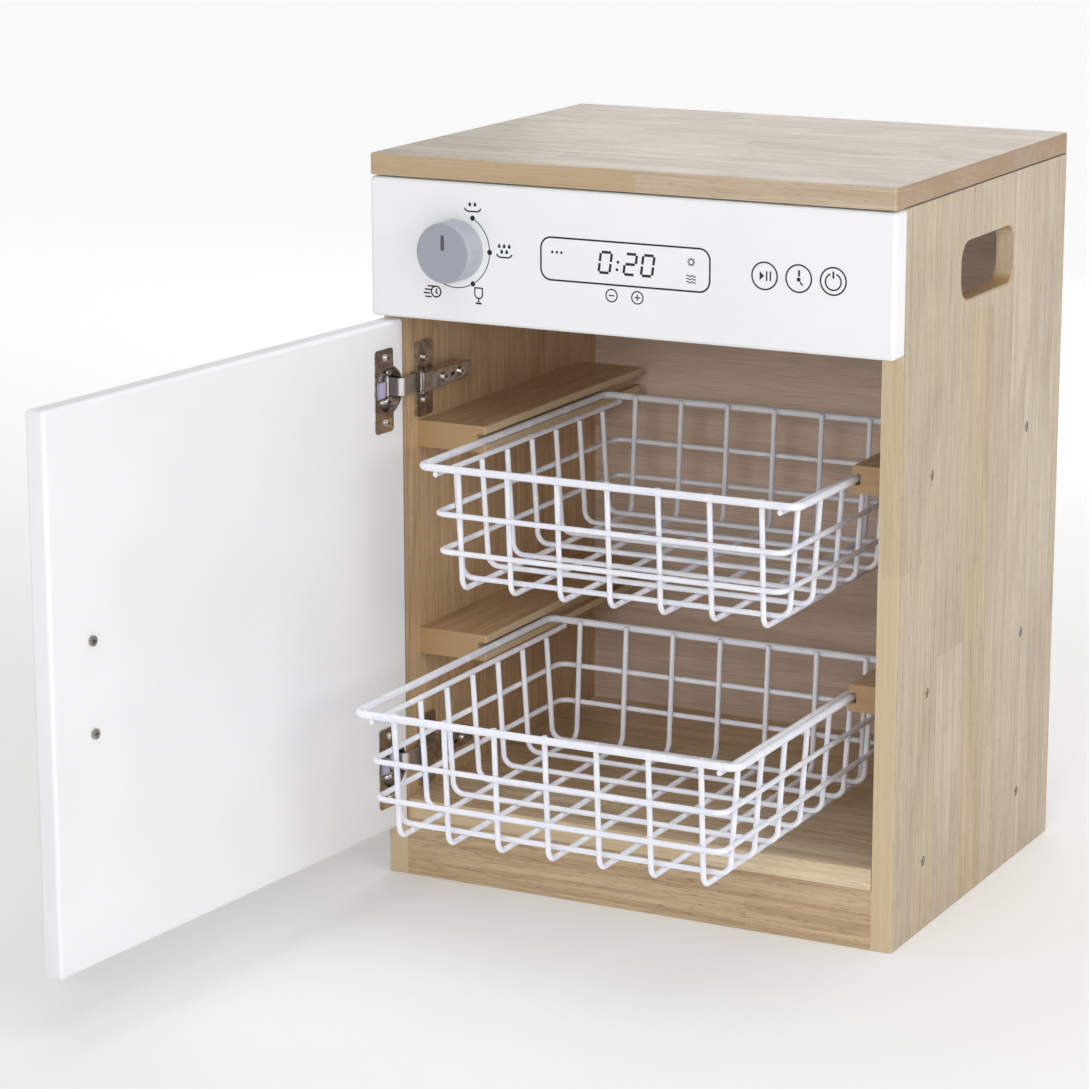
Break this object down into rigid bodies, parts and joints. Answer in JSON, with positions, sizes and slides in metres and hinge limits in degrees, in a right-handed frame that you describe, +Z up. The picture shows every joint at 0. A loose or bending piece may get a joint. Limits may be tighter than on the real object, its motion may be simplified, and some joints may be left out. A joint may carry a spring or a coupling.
{
  "type": "toy dishwasher",
  "caption": "Wooden play dishwasher: box cabinet with front panel and knob, side-hung door on concealed hinges, wire baskets sliding in grooved rails.",
  "frame": {"origin": "middle of the plinth's underside, on the floor", "axes": "+X to the right seen from the front, +Y from front to back, +Z up"},
  "size_m": [0.4648, 0.7326, 0.55],
  "materials": {
    "board": "glued rubberwood staves under a thin clear lacquer",
    "plywood": "clear lacquered plywood",
    "rail_wood": "clear lacquered solid wood",
    "beech": "bare fluted dowel",
    "lacquered_board": "fibreboard under smooth white semi-gloss lacquer",
    "coated_wire": "steel wire under white baked powder coat",
    "hinge_nickel": "pressed steel, dark nickel plate",
    "pin_steel": "bright steel",
    "zinc_screw": "zinc plated",
    "handle_metal": "satin nickel",
    "knob_plastic": "satin grey moulded plastic",
    "pointer_plastic": "dark grey"
  },
  "bodies": {
    "cabinet": {"worktop": "board", "left_side": "board", "right_side": "board", "bottom_board": "board", "plinth": "board", "back_panel": "plywood", "control_panel": "lacquered_board", "upper_left_rail": "rail_wood", "upper_right_rail": "rail_wood", "lower_left_rail": "rail_wood", "lower_right_rail": "rail_wood", "worktop_dowels": "beech", "panel_dowels": "beech", "plinth_dowels": "beech", "side_screws": "zinc_screw", "back_panel_screws": "zinc_screw", "upper_hinge_link": "hinge_nickel", "lower_hinge_link": "hinge_nickel", "upper_hinge_arm": "hinge_nickel", "lower_hinge_arm": "hinge_nickel", "upper_hinge_plate": "hinge_nickel", "lower_hinge_plate": "hinge_nickel", "hinge_arm_pins": "pin_steel", "hinge_plate_screws": "zinc_screw", "hinge_arm_screws": "zinc_screw"},
    "hinge_pins": {"hinge_pins": "pin_steel"},
    "door": {"door": "lacquered_board", "door_handle": "handle_metal", "handle_screws": "zinc_screw", "upper_hinge_cup": "hinge_nickel", "lower_hinge_cup": "hinge_nickel", "hinge_cup_screws": "zinc_screw"},
    "knob": {"program_knob": "knob_plastic", "knob_pointer": "pointer_plastic", "knob_screw": "zinc_screw", "knob_washer": "zinc_screw"},
    "upper_basket": {"upper_basket_rim": "coated_wire", "upper_basket_side_wires": "coated_wire", "upper_basket_upper_hoop": "coated_wire", "upper_basket_lower_hoop": "coated_wire", "upper_basket_long_wires": "coated_wire", "upper_basket_cross_wires": "coated_wire"},
    "lower_basket": {"lower_basket_rim": "coated_wire", "lower_basket_side_wires": "coated_wire", "lower_basket_upper_hoop": "coated_wire", "lower_basket_lower_hoop": "coated_wire", "lower_basket_long_wires": "coated_wire", "lower_basket_cross_wires": "coated_wire"}
  },
  "joints": [
    {"name": "door_free_swing", "type": "hinge", "parent": "cabinet", "child": "hinge_pins", "pos_m": [-0.196, -0.0195, 0.235], "axis": [0, 0, 1], "range_deg": [0, 20]},
    {"name": "door_hinge", "type": "hinge", "parent": "hinge_pins", "child": "door", "pos_m": [-0.196, -0.0195, 0.235], "axis": [0, 0, 1], "range_deg": [0, 75]},
    {"name": "upper_basket_slide", "type": "slide", "parent": "cabinet", "child": "upper_basket", "axis": [0, 1, 0], "range_m": [0, 0.085]},
    {"name": "lower_basket_slide", "type": "slide", "parent": "cabinet", "child": "lower_basket", "axis": [0, 1, 0], "range_m": [0, 0.18]},
    {"name": "knob_turn", "type": "hinge", "parent": "cabinet", "child": "knob", "pos_m": [-0.1342, -0.026, 0.484], "axis": [0, -1, 0], "continuous": true}
  ],
  "couplings": [
    {"joint": "upper_basket_slide", "follows": "door_hinge", "m_per_rad": 0.06493},
    {"joint": "lower_basket_slide", "follows": "door_hinge", "m_per_rad": 0.1375}
  ]
}
